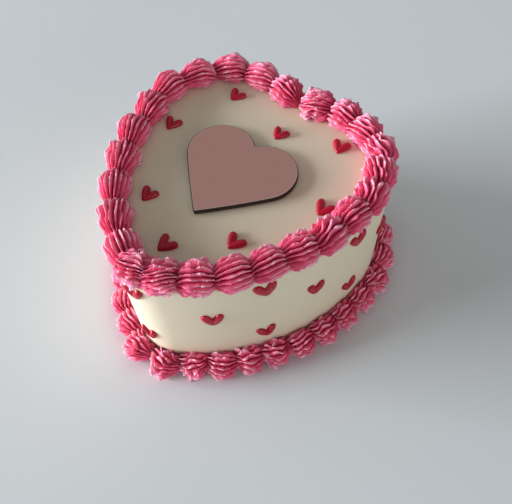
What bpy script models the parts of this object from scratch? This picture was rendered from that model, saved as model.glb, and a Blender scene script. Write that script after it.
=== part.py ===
"""Heart shaped cake: a tall heart of iced cake with piped shell borders, piped hearts and a plaque.

Units are metres and +Z is up. The heart is drawn with its lobe centres on y = 0 and its tip
towards -Y, and an empty then moves everything so that the origin is under the middle of the cake.
A distance along the heart's edge starts at the cleft: it counts up over the +X lobe to the tip,
and down over the -X lobe. An offset is measured outwards from that edge.
"""
import math

import bmesh
import bpy
from mathutils import Vector

MM = 0.001
ROUNDING = 1e-9

# Cake
CAKE_HEIGHT = 89.0 * MM
LOBE_RADIUS = 53.0 * MM
LOBE_SPREAD = 28.0 * MM
FLANK_RADIUS = 133.0 * MM
FLANK_TURN = math.radians(3.3)
TIP_RADIUS = 30.0 * MM
CLEFT_RADIUS = 30.0 * MM
CAKE_EDGE_POINTS = 96
GAP = 0.3 * MM

# Hand work: multipliers of the fixed draw, and one salt for each thing that strays
INDEX_WAVE = 12.9898
SALT_WAVE = 78.233
WAVE_SCALE = 43758.5453
GIRTH_SALT = 1
SHIFT_SALT = 2
SIZE_SALT = 3
TOP_TILT_SALT = 4
WALL_TILT_SALT = 5

# Shell borders
RIDGE_DEPTH = 0.16
CREASE_LIMIT = 0.95
HAND_GIRTH = 0.045
HAND_SHIFT = 0.5 * MM

# Top border, whose two strands start side by side near the cleft and meet at the tip
TOP_RADIUS = 9.8 * MM
TOP_OFFSET = -6.8 * MM
TOP_LIFT = 4.6 * MM
TOP_CREASE = 0.76
TOP_DRAW = 0.7
TOP_RIDGES = 9
TOP_STATIONS = 6
STRAND_START = -20.0 * MM
RIGHT_SHELLS = 14
RIGHT_PITCH = 19.3 * MM
LEFT_SHELLS = 10
LEFT_PITCH = 22.7 * MM

# Bottom border, of equal shells all round the foot of the wall
FOOT_RADIUS = 8.5 * MM
FOOT_OFFSET = 7.0 * MM
FOOT_LIFT = 7.5 * MM
FOOT_CREASE = 0.66
FOOT_RIDGES = 7
FOOT_STATIONS = 4
FOOT_SHELLS = 32
FOOT_HELD_SHARE = 0.5

# Shape of one shell along its length
HEAD_SHARE = 0.34
STATION_CROWDING = 1.35
HEAD_FULLNESS = 0.75

# Plaque
PLAQUE_LOBE_RADIUS = 20.0 * MM
PLAQUE_LOBE_SPREAD = 15.2 * MM
PLAQUE_FLANK_RADIUS = 520.0 * MM
PLAQUE_FLANK_TURN = math.radians(41.5)
PLAQUE_TIP_RADIUS = 0.6 * MM
PLAQUE_CLEFT_RADIUS = 0.6 * MM
PLAQUE_THICKNESS = 3.0 * MM
PLAQUE_POINTS = 60
PLAQUE_PLACE = (-0.4 * MM, -17.5 * MM)

# Small piped hearts
PIPED_LOBE_RADIUS = 3.1 * MM
PIPED_LOBE_SPREAD = 2.8 * MM
PIPED_FLANK_RADIUS = 16.0 * MM
PIPED_FLANK_TURN = math.radians(33.0)
PIPED_TIP_RADIUS = 0.9 * MM
PIPED_CLEFT_RADIUS = 0.7 * MM
PIPED_HEIGHT = 2.9 * MM
PIPED_BELLY = 0.4 * PIPED_HEIGHT
PIPED_DIP = 0.6 * PIPED_HEIGHT
PIPED_FOOT_INSET = 0.1 * PIPED_LOBE_RADIUS
PIPED_CROWN_INSET = 0.5 * PIPED_LOBE_RADIUS
PIPED_POINTS = 12
PIPED_TILT = math.radians(9.0)
PIPED_SIZE_SPREAD = 0.06

# Where the hearts on top stand, in the heart's frame
TOP_HEART_PLACES = [
    (-37.0 * MM, 26.0 * MM),
    (-55.0 * MM, -16.0 * MM),
    (-30.5 * MM, -66.0 * MM),
    (-0.5 * MM, -86.0 * MM),
    (29.0 * MM, -64.0 * MM),
    (56.0 * MM, -18.5 * MM),
    (40.0 * MM, 25.5 * MM),
    (4.5 * MM, 14.0 * MM),
]

# Where the hearts on the wall stand: columns of one and columns of two take turns
SINGLE_COLUMNS = [40.5 * MM, 100.5 * MM, 159.7 * MM, 220.8 * MM]
DOUBLE_COLUMNS = [0.0, 70.5 * MM, 130.8 * MM, 190.6 * MM]
SINGLE_LEVEL = 57.0 * MM
UPPER_LEVEL = 79.5 * MM
LOWER_LEVEL = 29.5 * MM

# Finishes: name, colour, roughness and metallic value
CREAM_ICING = ("cream_icing", (0.86, 0.83, 0.73), 0.55, 0.0)
PINK_ICING = ("pink_icing", (0.72, 0.19, 0.31), 0.5, 0.0)
RED_ICING = ("red_icing", (0.55, 0.02, 0.07), 0.35, 0.0)
ROSE_GOLD = ("rose_gold", (0.60, 0.46, 0.43), 0.12, 1.0)


class HeartEdge:
    """A smooth heart of four arcs a side: cleft, lobe, flank and tip."""

    def __init__(self, lobe_radius, lobe_spread, flank_radius, flank_turn, tip_radius, cleft_radius):
        reach = flank_radius - lobe_radius
        flank_x = lobe_spread - reach * math.cos(flank_turn)
        flank_y = reach * math.sin(flank_turn)
        cleft_y = math.sqrt((lobe_radius + cleft_radius) ** 2 - lobe_spread ** 2)
        tip_y = flank_y - math.sqrt((flank_radius - tip_radius) ** 2 - flank_x ** 2)
        cleft_end = math.atan2(cleft_y, -lobe_spread)
        flank_end = math.atan2(tip_y - flank_y, -flank_x)
        down = -math.pi / 2
        # Each arc is its centre, radius, bulge (-1 where it is hollow), first and last angle
        self.arcs = [
            ((0.0, cleft_y), cleft_radius, -1, down, cleft_end - math.pi),
            ((lobe_spread, 0.0), lobe_radius, 1, cleft_end, -flank_turn),
            ((flank_x, flank_y), flank_radius, 1, -flank_turn, flank_end),
            ((0.0, tip_y), tip_radius, 1, flank_end, down),
        ]
        self.lengths = [radius * abs(last - first) for _, radius, _, first, last in self.arcs]
        self.half = sum(self.lengths)

    def point(self, distance, offset=0.0):
        """The point at a distance along the edge, pushed outwards by an offset."""
        distance = (distance + self.half) % (2 * self.half) - self.half
        side = 1.0 if distance >= 0 else -1.0
        left = abs(distance)
        for (centre, radius, bulge, first, last), length in zip(self.arcs, self.lengths):
            if left <= length + ROUNDING:
                break
            left -= length
        share = min(left / length, 1.0)
        angle = first + (last - first) * share
        reach = radius + bulge * offset
        return side * (centre[0] + reach * math.cos(angle)), centre[1] + reach * math.sin(angle)

    def ring(self, count, offset=0.0):
        """Evenly spaced points once round, the first one in the cleft."""
        return [self.point(2 * self.half * k / count, offset) for k in range(count)]


CAKE_EDGE = HeartEdge(LOBE_RADIUS, LOBE_SPREAD, FLANK_RADIUS, FLANK_TURN, TIP_RADIUS, CLEFT_RADIUS)
PLAQUE_EDGE = HeartEdge(
    PLAQUE_LOBE_RADIUS, PLAQUE_LOBE_SPREAD, PLAQUE_FLANK_RADIUS,
    PLAQUE_FLANK_TURN, PLAQUE_TIP_RADIUS, PLAQUE_CLEFT_RADIUS)
PIPED_EDGE = HeartEdge(
    PIPED_LOBE_RADIUS, PIPED_LOBE_SPREAD, PIPED_FLANK_RADIUS,
    PIPED_FLANK_TURN, PIPED_TIP_RADIUS, PIPED_CLEFT_RADIUS)


def clear_scene():
    """Remove every object that the file holds."""
    for item in list(bpy.data.objects):
        bpy.data.objects.remove(item, do_unlink=True)


def finish(name, colour, roughness, metallic):
    """A plain material with one colour."""
    material = bpy.data.materials.new(name)
    material.use_nodes = True
    shader = material.node_tree.nodes["Principled BSDF"]
    shader.inputs["Base Color"].default_value = (*colour, 1.0)
    shader.inputs["Roughness"].default_value = roughness
    shader.inputs["Metallic"].default_value = metallic
    return material


def add_solid(name, rings, material, parent, closed_loop=False):
    """Make a closed solid by bridging rings of points, with caps or as one endless loop."""
    mesh = bmesh.new()
    rows = [[mesh.verts.new(point) for point in ring] for ring in rings]
    count = len(rows[0])
    pairs = list(zip(rows, rows[1:]))
    if closed_loop:
        pairs.append((rows[-1], rows[0]))
    else:
        mesh.faces.new(reversed(rows[0]))
        mesh.faces.new(rows[-1])
    for lower, upper in pairs:
        for k in range(count):
            after = (k + 1) % count
            mesh.faces.new((lower[k], lower[after], upper[after], upper[k]))
    bmesh.ops.recalc_face_normals(mesh, faces=mesh.faces)
    data = bpy.data.meshes.new(name)
    mesh.to_mesh(data)
    mesh.free()
    data.materials.append(material)
    item = bpy.data.objects.new(name, data)
    item.parent = parent
    bpy.context.collection.objects.link(item)
    return item


def uneven(index, salt):
    """How far hand work strays: a fixed number from -1 to 1 for each index and salt."""
    wave = math.sin(index * INDEX_WAVE + salt * SALT_WAVE) * WAVE_SCALE
    return 2.0 * (wave - math.floor(wave)) - 1.0


def shell_girth(share, crease):
    """Girth of a shell at a share of its length: a full head, then a taper to the crease."""
    if share < HEAD_SHARE:
        swell = math.sin(0.5 * math.pi * share / HEAD_SHARE)
    else:
        swell = math.cos(0.5 * math.pi * (share - HEAD_SHARE) / (1.0 - HEAD_SHARE))
    return crease + (1.0 - crease) * max(swell, 0.0) ** HEAD_FULLNESS


def shell_stations(head, tail, index, stations, crease):
    """Distance, girth and shift of each section of one shell, from its head to just before its tail."""
    size = 1.0 + HAND_GIRTH * uneven(index, GIRTH_SALT)
    shift = HAND_SHIFT * uneven(index, SHIFT_SALT)
    result = []
    for k in range(stations):
        share = (k / stations) ** STATION_CROWDING
        girth = shell_girth(share, crease)
        swell = (girth - crease) / (1.0 - crease)
        result.append((head + (tail - head) * share, girth * (1.0 + (size - 1.0) * swell), shift * swell))
    return result


def fluted_arc(centre, radius, first, last, ridges):
    """Points on an arc whose radius steps between valleys and crests, with a valley at each end."""
    points = []
    for k in range(2 * ridges + 1):
        angle = first + (last - first) * k / (2 * ridges)
        reach = radius if k % 2 else radius * (1.0 - RIDGE_DEPTH)
        points.append((centre[0] + reach * math.cos(angle), centre[1] + reach * math.sin(angle)))
    return points


def top_section(girth, shift):
    """Section of the top border, notched to sit over the cake's upper edge.

    Where a shell is thin, its middle is drawn in towards that edge.
    """
    radius = TOP_RADIUS * girth
    valley = radius * (1.0 - RIDGE_DEPTH)
    draw = 1.0 - TOP_DRAW * (1.0 - girth)
    centre = (GAP + (TOP_OFFSET - GAP) * draw + shift, GAP + (TOP_LIFT - GAP) * draw)
    first = -math.acos(min((GAP - centre[0]) / valley, CREASE_LIMIT))
    last = math.pi + math.asin((centre[1] - GAP) / valley)
    points = fluted_arc(centre, radius, first, last, TOP_RIDGES)
    points.append((GAP, GAP))
    return [(offset, CAKE_HEIGHT + height) for offset, height in points]


def foot_section(girth, shift):
    """Section of the bottom border, with one flat against the wall and one on the ground.

    A shift moves only the outer part, as the wall holds the inner one.
    """
    radius = FOOT_RADIUS * girth
    valley = radius * (1.0 - RIDGE_DEPTH)
    reach = (FOOT_OFFSET - GAP) * girth * (1.0 - RIDGE_DEPTH)
    height = FOOT_LIFT * girth * (1.0 - RIDGE_DEPTH)
    first = -math.asin(height / valley)
    last = math.acos(-reach / valley)
    points = fluted_arc((GAP + reach, height), radius, first, last, FOOT_RIDGES)
    points = [
        (offset + shift * max(0.0, offset / radius - FOOT_HELD_SHARE), level) for offset, level in points]
    points.append((GAP, 0.0))
    return points


def backward_stations(head, tail, index, stations, crease):
    """The same for a shell whose tail comes first: from its tail to just before its head."""
    shell = shell_stations(head, tail, index, stations, crease)
    return [(tail, shell_girth(1.0, crease), 0.0)] + list(reversed(shell[1:]))


def border_ring(section, stations):
    """Place a border's sections round the cake's edge."""
    rings = []
    for distance, girth, shift in stations:
        ring = []
        for offset, height in section(girth, shift):
            x, y = CAKE_EDGE.point(distance, offset)
            ring.append(Vector((x, y, height)))
        rings.append(ring)
    return rings


def top_stations():
    """Sections of the top border, up the right strand, over the tip and back down the left one."""
    right_end = STRAND_START + RIGHT_SHELLS * RIGHT_PITCH
    left_end = STRAND_START - LEFT_SHELLS * LEFT_PITCH + 2 * CAKE_EDGE.half
    stations = []
    for index in range(RIGHT_SHELLS):
        head = STRAND_START + index * RIGHT_PITCH
        stations += shell_stations(head, head + RIGHT_PITCH, index, TOP_STATIONS, TOP_CREASE)
    stations += shell_stations(right_end, left_end, RIGHT_SHELLS, TOP_STATIONS, TOP_CREASE)
    for index in reversed(range(LEFT_SHELLS)):
        head = STRAND_START - index * LEFT_PITCH + 2 * CAKE_EDGE.half
        number = RIGHT_SHELLS + 1 + index
        stations += backward_stations(head, head - LEFT_PITCH, number, TOP_STATIONS, TOP_CREASE)
    return stations


def foot_stations():
    """Sections of the bottom border, once round from the cleft, each shell's tail before its head."""
    pitch = 2 * CAKE_EDGE.half / FOOT_SHELLS
    stations = []
    for index in range(FOOT_SHELLS):
        tail = index * pitch
        number = RIGHT_SHELLS + LEFT_SHELLS + 1 + index
        stations += backward_stations(tail + pitch, tail, number, FOOT_STATIONS, FOOT_CREASE)
    return stations


def flat_rings(edge, count, levels):
    """Rings of an outline at each offset and height in a list of pairs."""
    return [[Vector((x, y, height)) for x, y in edge.ring(count, offset)] for offset, height in levels]


def piped_heart_rings(index):
    """One small domed heart about its own middle, its two lobes parted by a dip."""
    size = 1.0 + PIPED_SIZE_SPREAD * uneven(index, SIZE_SALT)
    levels = [(-PIPED_FOOT_INSET, 0.0), (0.0, PIPED_BELLY), (-PIPED_CROWN_INSET, PIPED_HEIGHT)]
    rings = flat_rings(PIPED_EDGE, PIPED_POINTS, levels)
    rings[-1][0].z = PIPED_DIP
    middle = 0.5 * (rings[1][0].y + min(point.y for point in rings[1]))
    for ring in rings:
        for point in ring:
            point.x *= size
            point.y = (point.y - middle) * size
    return rings


def add_cake(parent):
    """The iced cake itself, one solid heart."""
    rings = flat_rings(CAKE_EDGE, CAKE_EDGE_POINTS, [(0.0, 0.0), (0.0, CAKE_HEIGHT)])
    add_solid("cake_body", rings, finish(*CREAM_ICING), parent)


def add_borders(parent):
    """The two ropes of piped shells, of which the bottom one reaches widest."""
    pink = finish(*PINK_ICING)
    top_rings = border_ring(top_section, top_stations())
    foot_rings = border_ring(foot_section, foot_stations())
    add_solid("top_border", top_rings, pink, parent, closed_loop=True)
    return add_solid("bottom_border", foot_rings, pink, parent, closed_loop=True)


def add_plaque(parent):
    """The heart plaque that lies on the icing."""
    rings = flat_rings(PLAQUE_EDGE, PLAQUE_POINTS, [(0.0, 0.0), (0.0, PLAQUE_THICKNESS)])
    plaque = add_solid("plaque", rings, finish(*ROSE_GOLD), parent)
    plaque.location = (*PLAQUE_PLACE, CAKE_HEIGHT + GAP)


def add_top_hearts(parent, material):
    """Small hearts on top, spaced round inside the border."""
    for index, (x, y) in enumerate(TOP_HEART_PLACES):
        heart = add_solid(f"top_heart_{index + 1:02d}", piped_heart_rings(index), material, parent)
        heart.location = (x, y, CAKE_HEIGHT + GAP)
        heart.rotation_euler.z = PIPED_TILT * uneven(index, TOP_TILT_SALT)


def add_wall_heart(number, distance, level, material, parent):
    """One small heart bent round the wall, its tip down."""
    turn = PIPED_TILT * uneven(number, WALL_TILT_SALT)
    rings = []
    for ring in piped_heart_rings(number):
        bent = []
        for point in ring:
            across = point.x * math.cos(turn) - point.y * math.sin(turn)
            rise = point.x * math.sin(turn) + point.y * math.cos(turn)
            x, y = CAKE_EDGE.point(distance - across, GAP + point.z)
            bent.append(Vector((x, y, level + rise)))
        rings.append(bent)
    add_solid(f"wall_heart_{number - len(TOP_HEART_PLACES) + 1:02d}", rings, material, parent)


def add_wall_hearts(parent, material):
    """Small hearts all round the wall."""
    spots = [(CAKE_EDGE.half, UPPER_LEVEL), (CAKE_EDGE.half, LOWER_LEVEL)]
    for column in SINGLE_COLUMNS:
        spots += [(column, SINGLE_LEVEL), (-column, SINGLE_LEVEL)]
    for column in DOUBLE_COLUMNS:
        sides = [column, -column] if column > 0 else [column]
        spots += [(side, level) for side in sides for level in (UPPER_LEVEL, LOWER_LEVEL)]
    for number, (distance, level) in enumerate(spots, start=len(TOP_HEART_PLACES)):
        add_wall_heart(number, distance, level, material, parent)


def centre_over_origin(parent, widest):
    """Move the whole cake so that its widest piece is centred on the origin."""
    xs = [vertex.co.x for vertex in widest.data.vertices]
    ys = [vertex.co.y for vertex in widest.data.vertices]
    parent.location = (-0.5 * (min(xs) + max(xs)), -0.5 * (min(ys) + max(ys)), 0.0)


def main():
    """Build the whole cake."""
    clear_scene()
    cake = bpy.data.objects.new("cake", None)
    bpy.context.collection.objects.link(cake)
    add_cake(cake)
    widest = add_borders(cake)
    add_plaque(cake)
    red = finish(*RED_ICING)
    add_top_hearts(cake, red)
    add_wall_hearts(cake, red)
    centre_over_origin(cake, widest)


main()
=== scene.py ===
"""Looks of the heart shaped cake: ivory icing, two ropes of piped shells, hearts and a plaque.

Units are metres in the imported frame: +Z is up, the heart's tip points to -Y and its cleft to +Y.
A distance along the heart's edge starts at the cleft: it counts up over the +X lobe to the tip, and
down over the -X lobe. An offset is measured outwards from that edge.
"""
import logging
import math
from collections.abc import Sequence
from dataclasses import asdict, dataclass, field, fields
from enum import Enum
from functools import cached_property
from typing import Any

import bmesh
import bpy
import numpy as np
from bpy.types import ColorRamp, Material, Mesh, Node, NodeSocket, NodeTree, Object
from mathutils import Matrix, Vector


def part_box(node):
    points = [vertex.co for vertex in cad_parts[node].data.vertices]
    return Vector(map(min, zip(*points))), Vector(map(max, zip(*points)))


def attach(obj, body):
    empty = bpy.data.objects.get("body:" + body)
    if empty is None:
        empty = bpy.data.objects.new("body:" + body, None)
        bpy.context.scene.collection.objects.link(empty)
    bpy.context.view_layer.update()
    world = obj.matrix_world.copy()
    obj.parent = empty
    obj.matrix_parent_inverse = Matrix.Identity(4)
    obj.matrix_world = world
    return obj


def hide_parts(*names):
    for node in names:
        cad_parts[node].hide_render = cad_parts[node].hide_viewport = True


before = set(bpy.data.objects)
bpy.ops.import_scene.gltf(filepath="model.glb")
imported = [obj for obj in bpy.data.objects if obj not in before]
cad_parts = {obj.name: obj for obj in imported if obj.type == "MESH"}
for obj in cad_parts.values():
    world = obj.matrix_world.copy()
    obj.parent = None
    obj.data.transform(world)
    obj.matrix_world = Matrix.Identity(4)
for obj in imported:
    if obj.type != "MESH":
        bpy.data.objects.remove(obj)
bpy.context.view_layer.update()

LOG = logging.getLogger("cake")
MM = 0.001
ROUNDING = 1e-9
ROOT = "root"
TURN = 2.0 * math.pi
QUARTER = 0.5 * math.pi
CAKE_LOW, CAKE_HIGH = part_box("cake_body")
CAKE_TOP = CAKE_HIGH.z

# The fixed draw of uneven() scatters a sine of the shape's number and of the measure's salt.
NUMBER_PACE = 12.9898
SALT_PACE = 78.233
SCATTER = 43758.5453

Pair = tuple[float, float]
Triple = tuple[float, float, float]


class Slot(Enum):
    """The record's material slots."""

    CREAM = "cream_icing"
    PINK = "pink_icing"
    RED = "red_icing"
    ROSE_GOLD = "rose_gold"


class Stray(Enum):
    """What strays in hand work: each has its own salt for the fixed draw."""

    GIRTH = 1
    SHIFT = 2
    SIZE = 3
    TOP_TILT = 4
    WALL_TILT = 5
    YAW = 6
    KIND = 7
    ROLL = 8


def uneven(number: int, what: Stray) -> float:
    """How far hand work strays.

    Args:
        number: Number of the piped shape.
        what: The measure that strays.

    Returns:
        A fixed number from -1 to 1.
    """
    wave = math.sin(number * NUMBER_PACE + what.value * SALT_PACE) * SCATTER
    return 2.0 * (wave - math.floor(wave)) - 1.0


def smooth(value: np.ndarray) -> np.ndarray:
    """An S curve from 0 to 1 over values from 0 to 1."""
    held = np.clip(value, 0.0, 1.0)
    return held * held * (3.0 - 2.0 * held)


@dataclass(frozen=True)
class Arc:
    """One arc of a heart's edge, walked from its first angle to its last.

    Its bulge is 1 where the edge is full and -1 where it is hollow.
    """

    centre: Pair
    radius: float
    bulge: int
    first: float
    last: float

    @property
    def length(self) -> float:
        """Length along the arc."""
        return self.radius * abs(self.last - self.first)


@dataclass(frozen=True)
class HeartEdge:
    """A smooth heart of four arcs a side: cleft, lobe, flank and tip."""

    lobe_radius: float
    lobe_spread: float
    flank_radius: float
    flank_turn: float
    tip_radius: float
    cleft_radius: float
    middle: Pair = (0.0, 0.0)

    @cached_property
    def arcs(self) -> tuple[Arc, ...]:
        """The arcs of one side.

        Returns:
            Cleft, lobe, flank and tip of the +X side.
        """
        reach = self.flank_radius - self.lobe_radius
        flank = (
            self.lobe_spread - reach * math.cos(self.flank_turn),
            reach * math.sin(self.flank_turn),
        )
        cleft_y = math.sqrt((self.lobe_radius + self.cleft_radius) ** 2 - self.lobe_spread ** 2)
        tip_y = flank[1] - math.sqrt((self.flank_radius - self.tip_radius) ** 2 - flank[0] ** 2)
        cleft_end = math.atan2(cleft_y, -self.lobe_spread)
        flank_end = math.atan2(tip_y - flank[1], -flank[0])
        return (
            Arc((0.0, cleft_y), self.cleft_radius, -1, -QUARTER, cleft_end - math.pi),
            Arc((self.lobe_spread, 0.0), self.lobe_radius, 1, cleft_end, -self.flank_turn),
            Arc(flank, self.flank_radius, 1, -self.flank_turn, flank_end),
            Arc((0.0, tip_y), self.tip_radius, 1, flank_end, -QUARTER),
        )

    @cached_property
    def half(self) -> float:
        """Distance along the edge from cleft to tip."""
        return sum(arc.length for arc in self.arcs)

    def spot(self, distance: float, offset: float = 0.0) -> Triple:
        """A place along the edge.

        Args:
            distance: Distance from the cleft.
            offset: How far the place is pushed outwards.

        Returns:
            X, Y and the angle of the direction outwards.
        """
        distance = (distance + self.half) % (2 * self.half) - self.half
        side = 1.0 if distance >= 0 else -1.0
        left = abs(distance)
        for arc in self.arcs:
            if left <= arc.length + ROUNDING:
                break
            left -= arc.length
        angle = arc.first + (arc.last - arc.first) * min(left / arc.length, 1.0)
        reach = arc.radius + arc.bulge * offset
        x = side * (arc.centre[0] + reach * math.cos(angle))
        y = arc.centre[1] + reach * math.sin(angle)
        outwards = math.atan2(arc.bulge * math.sin(angle), side * arc.bulge * math.cos(angle))
        return self.middle[0] + x, self.middle[1] + y, outwards

    def ring(self, count: int, offset: float = 0.0) -> np.ndarray:
        """Evenly spaced points once round, clockwise from the cleft."""
        return np.array([self.spot(2 * self.half * k / count, offset)[:2] for k in range(count)])


LOBE_RADIUS = 53.0 * MM
CAKE_EDGE = HeartEdge(
    lobe_radius=LOBE_RADIUS,
    lobe_spread=28.0 * MM,
    flank_radius=133.0 * MM,
    flank_turn=math.radians(3.3),
    tip_radius=30.0 * MM,
    cleft_radius=30.0 * MM,
    middle=(0.5 * (CAKE_LOW.x + CAKE_HIGH.x), CAKE_HIGH.y - LOBE_RADIUS),
)


class Socket:
    """A node's output that takes part in arithmetic."""

    def __init__(self, tree: "Tree", source: NodeSocket) -> None:
        """Keep the socket and the tree that it belongs to."""
        self.tree = tree
        self.source = source

    def __add__(self, other: Any) -> "Socket":
        """This plus another value."""
        return self.tree.maths("ADD", self, other)

    def __radd__(self, other: Any) -> "Socket":
        """Another value plus this."""
        return self.tree.maths("ADD", other, self)

    def __sub__(self, other: Any) -> "Socket":
        """This less another value."""
        return self.tree.maths("SUBTRACT", self, other)

    def __rsub__(self, other: Any) -> "Socket":
        """Another value less this."""
        return self.tree.maths("SUBTRACT", other, self)

    def __mul__(self, other: Any) -> "Socket":
        """This times another value."""
        return self.tree.maths("MULTIPLY", self, other)

    def __rmul__(self, other: Any) -> "Socket":
        """Another value times this."""
        return self.tree.maths("MULTIPLY", other, self)

    def __rtruediv__(self, other: Any) -> "Socket":
        """Another value over this."""
        return self.tree.maths("DIVIDE", other, self)

    def clamped(self) -> "Socket":
        """This held between 0 and 1."""
        return self.tree.maths("MINIMUM", self.tree.maths("MAXIMUM", self, 0.0), 1.0)


class Tree:
    """Adds nodes to a shader tree or a geometry tree."""

    def __init__(self, tree: NodeTree) -> None:
        """Wrap a node tree."""
        self.tree = tree

    def node(
        self,
        kind: str,
        settings: dict[str, Any] | None = None,
        inputs: dict[str | int, Any] | None = None,
    ) -> Node:
        """Add a node.

        Args:
            kind: The node's type.
            settings: Its properties, set first; "stops" are a ramp's positions and colours.
            inputs: Values or links for its sockets, by identifier, name or number.

        Returns:
            The new node.
        """
        made = self.tree.nodes.new(kind)
        for key, value in (settings or {}).items():
            if key == "stops":
                self._set_stops(made.color_ramp, value)
            else:
                setattr(made, key, value)
        for key, value in (inputs or {}).items():
            self.feed(made, key, value)
        return made

    @staticmethod
    def _set_stops(ramp: ColorRamp, stops: Sequence[tuple[float, Triple]]) -> None:
        """Give a colour ramp its stops.

        Args:
            ramp: The ramp.
            stops: Position and colour of each stop.
        """
        while len(ramp.elements) < len(stops):
            ramp.elements.new(1.0)
        for element, (position, colour) in zip(ramp.elements, stops):
            element.position = position
            element.color = opaque(colour)

    @staticmethod
    def _find(sockets: Sequence[NodeSocket], key: str | int) -> NodeSocket:
        """A socket by its number, its identifier or else its name."""
        matching = [] if isinstance(key, int) else [s for s in sockets if s.identifier == key]
        return matching[0] if matching else sockets[key]

    def feed(self, node: Node, key: str | int, value: Any) -> None:
        """Set or link one input of a node.

        Args:
            node: The node.
            key: Identifier, name or number of the input.
            value: A plain value, or a socket to link.
        """
        target = self._find(node.inputs, key)
        if isinstance(value, Socket):
            self.tree.links.new(value.source, target)
        else:
            target.default_value = value

    def out(self, node: Node, key: str | int = 0) -> Socket:
        """One output of a node, by identifier, name or number."""
        return Socket(self, self._find(node.outputs, key))

    def maths(self, operation: str, first: Any, second: Any) -> Socket:
        """The result of a Math node."""
        return self.out(
            self.node("ShaderNodeMath", {"operation": operation}, {0: first, 1: second}))

    def vector(self, operation: str, first: Any, second: Any, by: str | int = 1) -> Socket:
        """The result of a Vector Math node, whose second value goes to the input named by `by`."""
        return self.out(
            self.node("ShaderNodeVectorMath", {"operation": operation}, {0: first, by: second}))

    def blend(self, share: Socket, first: Triple, second: Triple) -> Socket:
        """A colour between two screen colours."""
        inputs = {"A_Color": opaque(linear(first)), "B_Color": opaque(linear(second))}
        inputs["Factor_Float"] = share
        return self.out(self.node("ShaderNodeMix", {"data_type": "RGBA"}, inputs), "Result_Color")

    def noise(self, vector: Any, scale: Any, detail: float = 2.0, roughness: float = 0.5) -> Socket:
        """The value of a noise texture, from 0 to 1."""
        inputs = {"Vector": vector, "Scale": scale, "Detail": detail, "Roughness": roughness}
        return self.out(self.node("ShaderNodeTexNoise", {"noise_dimensions": "3D"}, inputs))


def opaque(colour: Sequence[float]) -> tuple[float, ...]:
    """A colour with its alpha."""
    return (*colour, 1.0)


def linear(colour: Sequence[float]) -> tuple[float, ...]:
    """A screen colour as scene linear values, by the usual screen curve."""
    return tuple(c / 12.92 if c <= 0.04045 else ((c + 0.055) / 1.055) ** 2.4 for c in colour)


@dataclass(frozen=True)
class Grain:
    """Noise of a size in metres, which may be drawn out."""

    size: float
    detail: float = 2.0
    roughness: float = 0.5
    drawn_out: Triple | None = None

    def over(self, tree: Tree, place: Socket) -> Socket:
        """Add the noise.

        Args:
            tree: The material's tree.
            place: Coordinates in metres.

        Returns:
            Its value, from 0 to 1.
        """
        if self.drawn_out:
            place = tree.vector("MULTIPLY", place, self.drawn_out)
        return tree.noise(place, 1.0 / self.size, self.detail, self.roughness)


@dataclass(frozen=True)
class Finish:
    """A surface finish.

    Its patches blend two screen colours. With a mark that the mesh carries, the colours lie at
    their levels of the mark instead. Its gloss and relief follow its grain, or else its patches.
    """

    name: str
    colours: tuple[Triple, ...]
    patches: Grain
    rough: float
    rough_spread: float
    fixed: dict[str, Any] = field(default_factory=dict)
    grain: Grain | None = None
    pores: Grain | None = None
    pore_share: float = 0.25
    depth: float = 0.0
    mark: str = ""
    levels: tuple[float, ...] = ()
    patch_share: float = 0.0
    cut_rough: float = 0.0

    def make(self) -> Material:
        """Make the material.

        Returns:
            The finished material.
        """
        material = bpy.data.materials.new(self.name)
        material.use_nodes = True
        tree = Tree(material.node_tree)
        shader = material.node_tree.nodes["Principled BSDF"]
        place = tree.out(tree.node("ShaderNodeTexCoord"), "Object")
        patches = self.patches.over(tree, place)
        grain = self.grain.over(tree, place) if self.grain else patches
        values = {**self.fixed, "Roughness": self.rough + self.rough_spread * grain}
        if self.mark:
            self._follow_mark(tree, patches, values)
        else:
            values["Base Color"] = tree.blend(patches, *self.colours)
        if self.depth:
            height = grain
            if self.pores:
                pores = self.pores.over(tree, place)
                height = (1.0 - self.pore_share) * grain + self.pore_share * pores
            bump = {"Strength": 1.0, "Distance": self.depth, "Height": height}
            values["Normal"] = tree.out(tree.node("ShaderNodeBump", None, bump))
        for name, value in values.items():
            tree.feed(shader, name, value)
        return material

    def _follow_mark(self, tree: Tree, patches: Socket, values: dict[str, Any]) -> None:
        """Colour the surface by its mark, which on bare metal tells where it is cut and places a
        pale painted highlight along the rim, and on pink icing places painted shade and highlights.

        Args:
            tree: The material's tree.
            patches: Patches that shift the mark.
            values: Inputs of the shader, which are added to.
        """
        level = tree.out(tree.node("ShaderNodeAttribute", {"attribute_name": self.mark}), "Fac")
        if self.cut_rough:
            values["Metallic"] = 1.0 - level
            values["Roughness"] += self.cut_rough * level
        if self.patch_share:
            level = (level + self.patch_share * (patches - 0.5)).clamped()
        stops = list(zip(self.levels, map(linear, self.colours)))
        ramp = tree.node("ShaderNodeValToRGB", {"stops": stops}, {"Fac": level})
        values["Base Color"] = tree.out(ramp, "Color")


# Ivory buttercream drawn smooth with a scraper.
CREAM_ICING = Finish(
    name="cream_icing",
    colours=((0.925, 0.885, 0.785), (0.905, 0.855, 0.745)),
    patches=Grain(26.0 * MM, detail=3.0),
    rough=0.46,
    rough_spread=0.14,
    fixed={
        "Subsurface Weight": 0.12,
        "Subsurface Radius": (1.0, 0.75, 0.5),
        "Subsurface Scale": 2.0 * MM,
    },
    grain=Grain(1.4 * MM, detail=3.0, roughness=0.6, drawn_out=(0.06, 0.06, 1.0)),
    pores=Grain(0.8 * MM),
    depth=0.05 * MM,
)
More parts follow.
